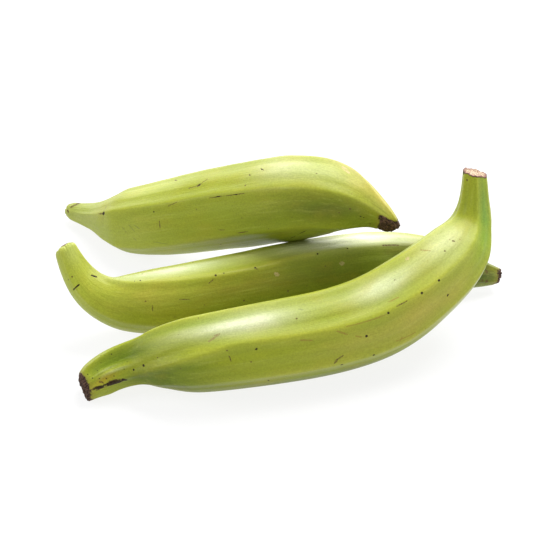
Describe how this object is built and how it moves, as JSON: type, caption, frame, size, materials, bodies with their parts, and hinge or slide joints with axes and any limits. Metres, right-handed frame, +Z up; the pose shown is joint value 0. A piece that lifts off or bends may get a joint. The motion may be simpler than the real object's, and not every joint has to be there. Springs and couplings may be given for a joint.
{
  "type": "bunch of green plantains",
  "caption": "Green plantains lying together in a heap, with cut woody stems, ridged waxy skin and dry brown blossom tips.",
  "frame": {"origin": "on the surface that the fruit lie on, under the middle of the heap's bounding box", "axes": "+X along the heap, from the middle fruit's stem to its blossom tip; +Y from the front fruit to the rear fruit; +Z up"},
  "size_m": [0.2596, 0.1886, 0.0898],
  "materials": {
    "plantain_skin": "waxy satin fruit skin"
  },
  "bodies": {
    "root": {"front_plantain": "plantain_skin", "middle_plantain": "plantain_skin", "rear_plantain": "plantain_skin"}
  },
  "joints": []
}
